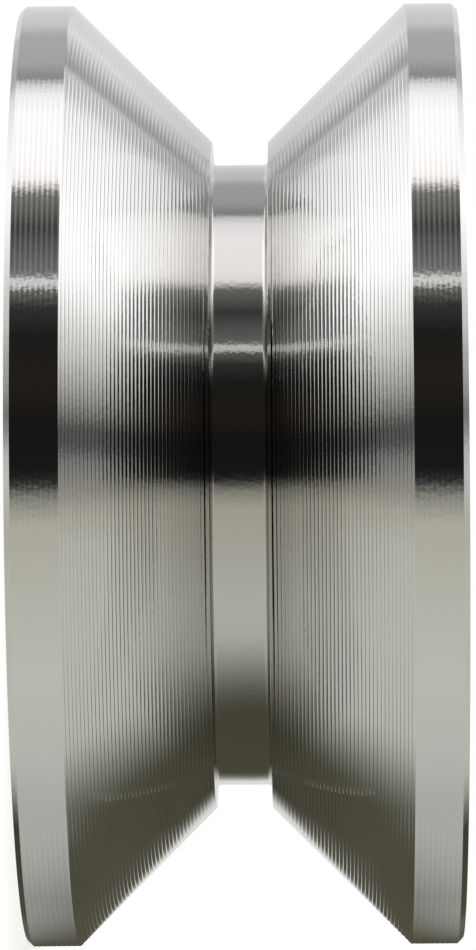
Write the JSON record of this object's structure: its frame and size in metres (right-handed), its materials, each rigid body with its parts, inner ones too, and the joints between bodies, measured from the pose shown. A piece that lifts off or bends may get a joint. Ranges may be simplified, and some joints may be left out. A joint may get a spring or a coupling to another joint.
{
  "type": "v groove wheel",
  "caption": "Turned stainless steel guide wheel with a 90 degree V groove and a relief channel at its root, running on sealed ball bearings with a plain bore.",
  "frame": {"origin": "centre of the wheel: on its axis, at the middle plane of the groove", "axes": "+Z along the wheel's axis; the wheel stands on its lower end face, and both end faces are alike"},
  "size_m": [0.05, 0.05, 0.023],
  "materials": {
    "turned_stainless": "bright turned, with fine feed marks",
    "ground_bearing_steel": "ground",
    "polished_ball_steel": "lapped and polished",
    "pressed_cage_steel": "pressed sheet, tumbled",
    "seal_rubber": "moulded, matt",
    "phosphated_spring_steel": "phosphated, dark grey"
  },
  "bodies": {
    "axle_side": {"spacer_sleeve": "ground_bearing_steel", "upper_inner_ring": "ground_bearing_steel", "lower_inner_ring": "ground_bearing_steel"},
    "wheel": {"wheel_body": "turned_stainless", "upper_outer_ring": "ground_bearing_steel", "upper_outside_seal": "seal_rubber", "upper_inside_seal": "seal_rubber", "upper_retaining_ring": "phosphated_spring_steel", "lower_outer_ring": "ground_bearing_steel", "lower_outside_seal": "seal_rubber", "lower_inside_seal": "seal_rubber", "lower_retaining_ring": "phosphated_spring_steel"},
    "upper_cage": {"upper_cage_outside_half": "pressed_cage_steel", "upper_cage_inside_half": "pressed_cage_steel", "upper_cage_rivets": "pressed_cage_steel"},
    "lower_cage": {"lower_cage_outside_half": "pressed_cage_steel", "lower_cage_inside_half": "pressed_cage_steel", "lower_cage_rivets": "pressed_cage_steel"},
    "upper_ball_1": {"upper_ball_1": "polished_ball_steel"},
    "upper_ball_2": {"upper_ball_2": "polished_ball_steel"},
    "upper_ball_3": {"upper_ball_3": "polished_ball_steel"},
    "upper_ball_4": {"upper_ball_4": "polished_ball_steel"},
    "upper_ball_5": {"upper_ball_5": "polished_ball_steel"},
    "upper_ball_6": {"upper_ball_6": "polished_ball_steel"},
    "upper_ball_7": {"upper_ball_7": "polished_ball_steel"},
    "lower_ball_1": {"lower_ball_1": "polished_ball_steel"},
    "lower_ball_2": {"lower_ball_2": "polished_ball_steel"},
    "lower_ball_3": {"lower_ball_3": "polished_ball_steel"},
    "lower_ball_4": {"lower_ball_4": "polished_ball_steel"},
    "lower_ball_5": {"lower_ball_5": "polished_ball_steel"},
    "lower_ball_6": {"lower_ball_6": "polished_ball_steel"},
    "lower_ball_7": {"lower_ball_7": "polished_ball_steel"}
  },
  "joints": [
    {"name": "wheel_spin", "type": "hinge", "parent": "axle_side", "child": "wheel", "pos_m": [0, 0, 0], "axis": [0, 0, 1], "continuous": true},
    {"name": "upper_cage_spin", "type": "hinge", "parent": "axle_side", "child": "upper_cage", "pos_m": [0, 0, 0.0053], "axis": [0, 0, 1], "continuous": true},
    {"name": "upper_ball_1_spin", "type": "hinge", "parent": "upper_cage", "child": "upper_ball_1", "pos_m": [0.009, 0, 0.0053], "axis": [0, 0, 1], "continuous": true},
    {"name": "upper_ball_2_spin", "type": "hinge", "parent": "upper_cage", "child": "upper_ball_2", "pos_m": [0.00561, 0.00704, 0.0053], "axis": [0, 0, 1], "continuous": true},
    {"name": "upper_ball_3_spin", "type": "hinge", "parent": "upper_cage", "child": "upper_ball_3", "pos_m": [-0.002, 0.00877, 0.0053], "axis": [0, 0, 1], "continuous": true},
    {"name": "upper_ball_4_spin", "type": "hinge", "parent": "upper_cage", "child": "upper_ball_4", "pos_m": [-0.00811, 0.0039, 0.0053], "axis": [0, 0, 1], "continuous": true},
    {"name": "upper_ball_5_spin", "type": "hinge", "parent": "upper_cage", "child": "upper_ball_5", "pos_m": [-0.00811, -0.0039, 0.0053], "axis": [0, 0, 1], "continuous": true},
    {"name": "upper_ball_6_spin", "type": "hinge", "parent": "upper_cage", "child": "upper_ball_6", "pos_m": [-0.002, -0.00877, 0.0053], "axis": [0, 0, 1], "continuous": true},
    {"name": "upper_ball_7_spin", "type": "hinge", "parent": "upper_cage", "child": "upper_ball_7", "pos_m": [0.00561, -0.00704, 0.0053], "axis": [0, 0, 1], "continuous": true},
    {"name": "lower_cage_spin", "type": "hinge", "parent": "axle_side", "child": "lower_cage", "pos_m": [0, 0, -0.0053], "axis": [0, 0, 1], "continuous": true},
    {"name": "lower_ball_1_spin", "type": "hinge", "parent": "lower_cage", "child": "lower_ball_1", "pos_m": [0.009, 0, -0.0053], "axis": [0, 0, 1], "continuous": true},
    {"name": "lower_ball_2_spin", "type": "hinge", "parent": "lower_cage", "child": "lower_ball_2", "pos_m": [0.00561, 0.00704, -0.0053], "axis": [0, 0, 1], "continuous": true},
    {"name": "lower_ball_3_spin", "type": "hinge", "parent": "lower_cage", "child": "lower_ball_3", "pos_m": [-0.002, 0.00877, -0.0053], "axis": [0, 0, 1], "continuous": true},
    {"name": "lower_ball_4_spin", "type": "hinge", "parent": "lower_cage", "child": "lower_ball_4", "pos_m": [-0.00811, 0.0039, -0.0053], "axis": [0, 0, 1], "continuous": true},
    {"name": "lower_ball_5_spin", "type": "hinge", "parent": "lower_cage", "child": "lower_ball_5", "pos_m": [-0.00811, -0.0039, -0.0053], "axis": [0, 0, 1], "continuous": true},
    {"name": "lower_ball_6_spin", "type": "hinge", "parent": "lower_cage", "child": "lower_ball_6", "pos_m": [-0.002, -0.00877, -0.0053], "axis": [0, 0, 1], "continuous": true},
    {"name": "lower_ball_7_spin", "type": "hinge", "parent": "lower_cage", "child": "lower_ball_7", "pos_m": [0.00561, -0.00704, -0.0053], "axis": [0, 0, 1], "continuous": true}
  ],
  "couplings": [
    {"joint": "upper_cage_spin", "follows": "wheel_spin", "ratio": 0.63229},
    {"joint": "upper_ball_1_spin", "follows": "wheel_spin", "ratio": 1.7575},
    {"joint": "upper_ball_2_spin", "follows": "wheel_spin", "ratio": 1.7575},
    {"joint": "upper_ball_3_spin", "follows": "wheel_spin", "ratio": 1.7575},
    {"joint": "upper_ball_4_spin", "follows": "wheel_spin", "ratio": 1.7575},
    {"joint": "upper_ball_5_spin", "follows": "wheel_spin", "ratio": 1.7575},
    {"joint": "upper_ball_6_spin", "follows": "wheel_spin", "ratio": 1.7575},
    {"joint": "upper_ball_7_spin", "follows": "wheel_spin", "ratio": 1.7575},
    {"joint": "lower_cage_spin", "follows": "wheel_spin", "ratio": 0.63229},
    {"joint": "lower_ball_1_spin", "follows": "wheel_spin", "ratio": 1.7575},
    {"joint": "lower_ball_2_spin", "follows": "wheel_spin", "ratio": 1.7575},
    {"joint": "lower_ball_3_spin", "follows": "wheel_spin", "ratio": 1.7575},
    {"joint": "lower_ball_4_spin", "follows": "wheel_spin", "ratio": 1.7575},
    {"joint": "lower_ball_5_spin", "follows": "wheel_spin", "ratio": 1.7575},
    {"joint": "lower_ball_6_spin", "follows": "wheel_spin", "ratio": 1.7575},
    {"joint": "lower_ball_7_spin", "follows": "wheel_spin", "ratio": 1.7575}
  ]
}
